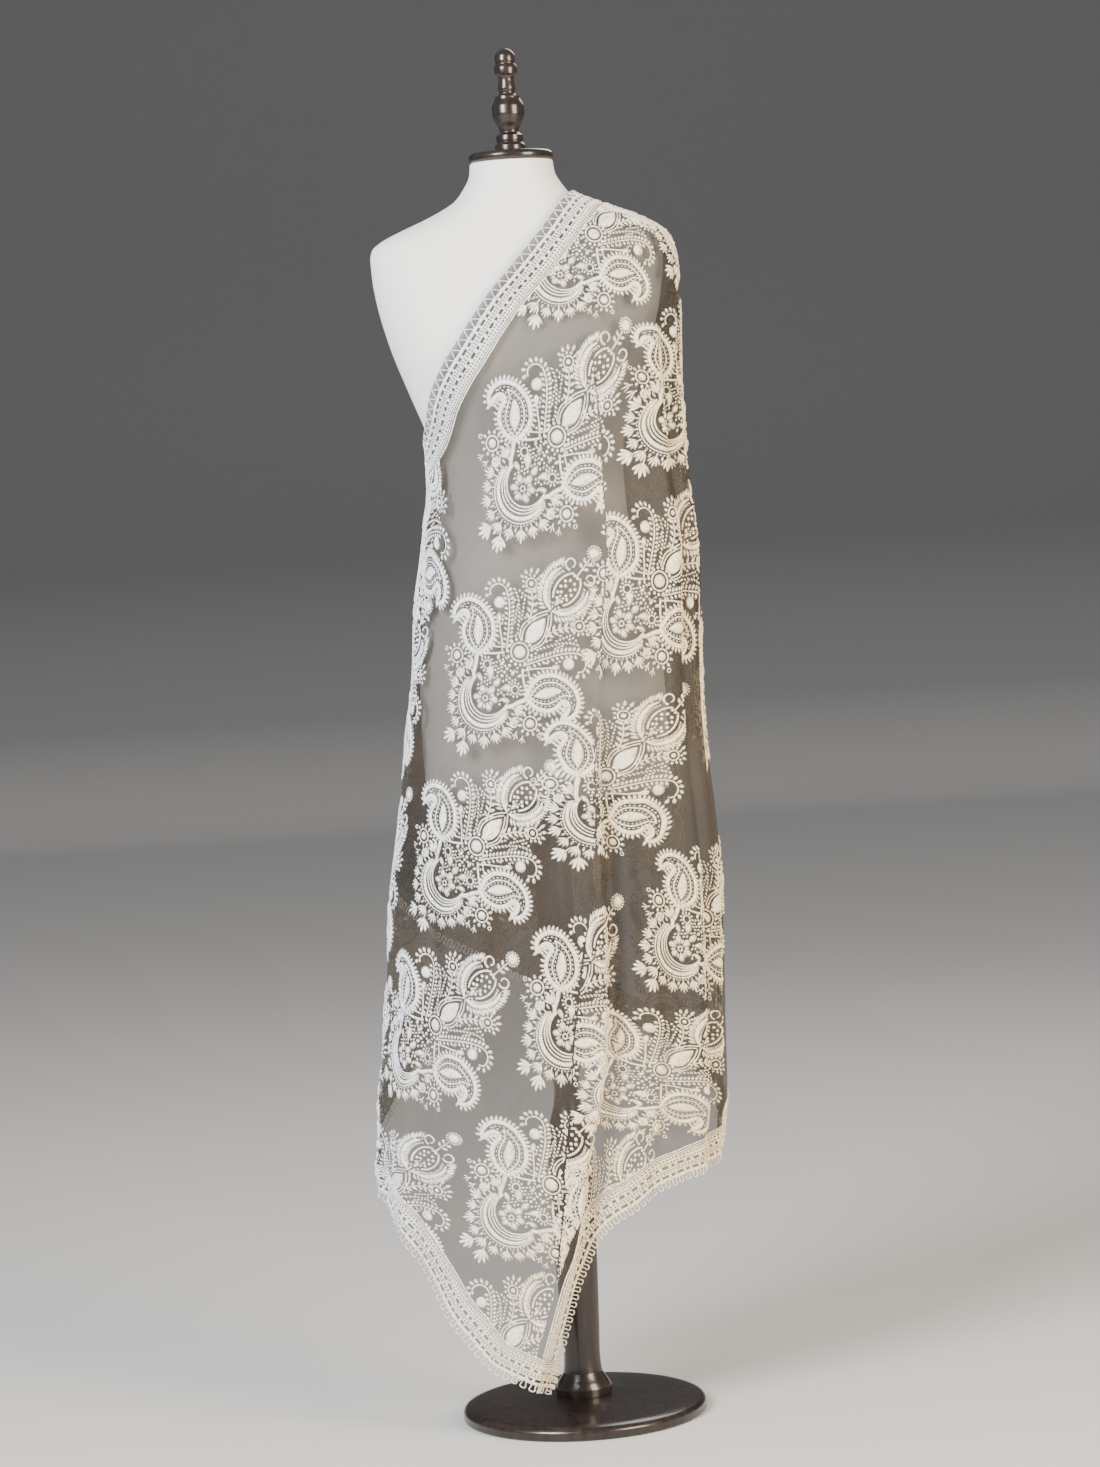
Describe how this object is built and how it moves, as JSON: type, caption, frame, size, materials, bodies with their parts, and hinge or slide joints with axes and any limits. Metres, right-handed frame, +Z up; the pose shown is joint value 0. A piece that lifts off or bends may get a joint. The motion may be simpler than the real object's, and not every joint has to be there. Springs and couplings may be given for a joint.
{
  "type": "embroidered dupatta on a dress form",
  "caption": "Sheer organza dupatta with paisley embroidery and cutwork bands, draped over one shoulder of a limbless dress form on a turned stand.",
  "frame": {"origin": "centre of the stand's underside", "axes": "+Z up, the form faces -Y, +X to the right of someone looking at its front"},
  "size_m": [0.4425, 0.3044, 1.6694],
  "materials": {
    "organza": "sheer, soft sheen",
    "ivory_thread": "satin thread",
    "form_cover": "smooth matte jersey",
    "dark_wood": "glossy varnish"
  },
  "bodies": {
    "root": {"dupatta_front": "organza", "dupatta_back": "organza", "dupatta_wrap": "organza", "band_neck_front": "ivory_thread", "band_neck_back": "ivory_thread", "band_neck_wrap": "ivory_thread", "band_end_front": "ivory_thread", "band_end_wrap": "ivory_thread", "band_side_front": "ivory_thread", "band_side_back": "ivory_thread", "picot_neck_front": "ivory_thread", "picot_neck_back": "ivory_thread", "picot_neck_wrap": "ivory_thread", "picot_end_front": "ivory_thread", "picot_end_wrap": "ivory_thread", "picot_side_front": "ivory_thread", "picot_side_back": "ivory_thread", "form_torso": "form_cover", "neck_cap": "dark_wood", "finial": "dark_wood", "stand_column": "dark_wood", "stand_base": "dark_wood"}
  },
  "joints": []
}
